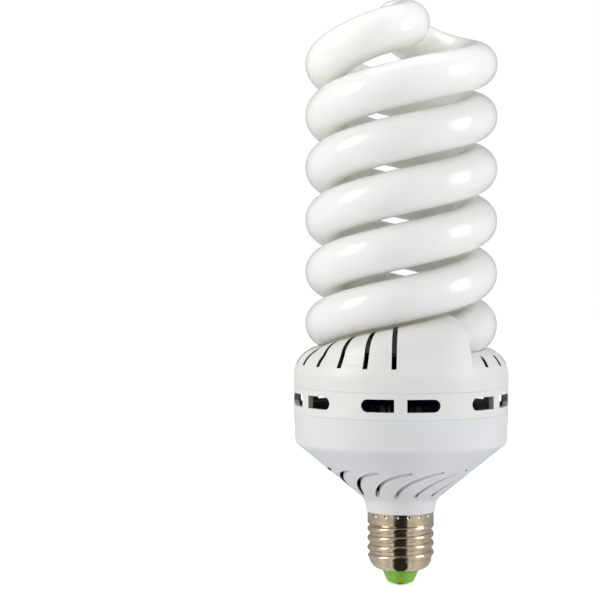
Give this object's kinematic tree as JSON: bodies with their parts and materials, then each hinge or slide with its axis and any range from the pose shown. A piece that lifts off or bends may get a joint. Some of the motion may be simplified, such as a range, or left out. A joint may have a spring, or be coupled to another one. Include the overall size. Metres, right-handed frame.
{
  "type": "spiral photography bulb",
  "caption": "Large double-helix opal fluorescent tube on a vented white housing with a conical lower cover and a screw cap.",
  "frame": {"origin": "centre of the end contact's lower face, at the bottom of the bulb", "axes": "+Z along the bulb's axis from the cap to the top of the spiral, -Y towards the viewer, +X to the viewer's right"},
  "size_m": [0.084, 0.084, 0.229],
  "materials": {
    "opal_glass": "opal phosphor-coated tube, satin",
    "cover_plastic": "white moulded plastic, semi-gloss",
    "cap_nickel": "nickel-plated brass, warm grey",
    "insulator_green": "green moulded insulator",
    "contact_metal": "tinned brass, dull",
    "board_laminate": "olive brown laminate",
    "steel_pin": "tinned steel",
    "capacitor_sleeve": "navy shrink sleeve",
    "ferrite": "dark grey ferrite",
    "bobbin_plastic": "natural nylon",
    "copper_winding": "enamelled copper wire",
    "wire_sleeve_red": "red insulated wire",
    "package_black": "black epoxy",
    "sink_aluminium": "mill finish",
    "film_red": "red dipped film capacitor",
    "film_green": "green dipped film capacitor",
    "sleeve_black": "black shrink sleeve",
    "resistor_body": "pale blue-green lacquer",
    "thermistor_disc": "dark green disc",
    "wire_sleeve_white": "white insulated wire"
  },
  "bodies": {
    "root": {"spiral_tube": "opal_glass", "upper_cover": "cover_plastic", "vent_ring": "cover_plastic", "lower_cover": "cover_plastic", "cap_shell": "cap_nickel", "cap_insulator": "insulator_green", "end_contact": "contact_metal", "circuit_board": "board_laminate", "wire_posts": "steel_pin", "tube_leads": "steel_pin", "smoothing_capacitor_left": "capacitor_sleeve", "smoothing_capacitor_right": "capacitor_sleeve", "choke_core_upper": "ferrite", "choke_core_lower": "ferrite", "choke_bobbin": "bobbin_plastic", "choke_winding": "copper_winding", "drive_toroid": "ferrite", "toroid_winding": "wire_sleeve_red", "power_transistor_front": "package_black", "power_transistor_back": "package_black", "heat_sink": "sink_aluminium", "transistor_screws": "steel_pin", "filter_capacitor": "film_red", "start_capacitor": "film_green", "filter_inductor": "sleeve_black", "rectifier_diodes": "package_black", "fuse_resistor": "resistor_body", "surge_thermistor": "thermistor_disc", "line_wire": "wire_sleeve_white", "neutral_wire": "wire_sleeve_white"}
  },
  "joints": []
}
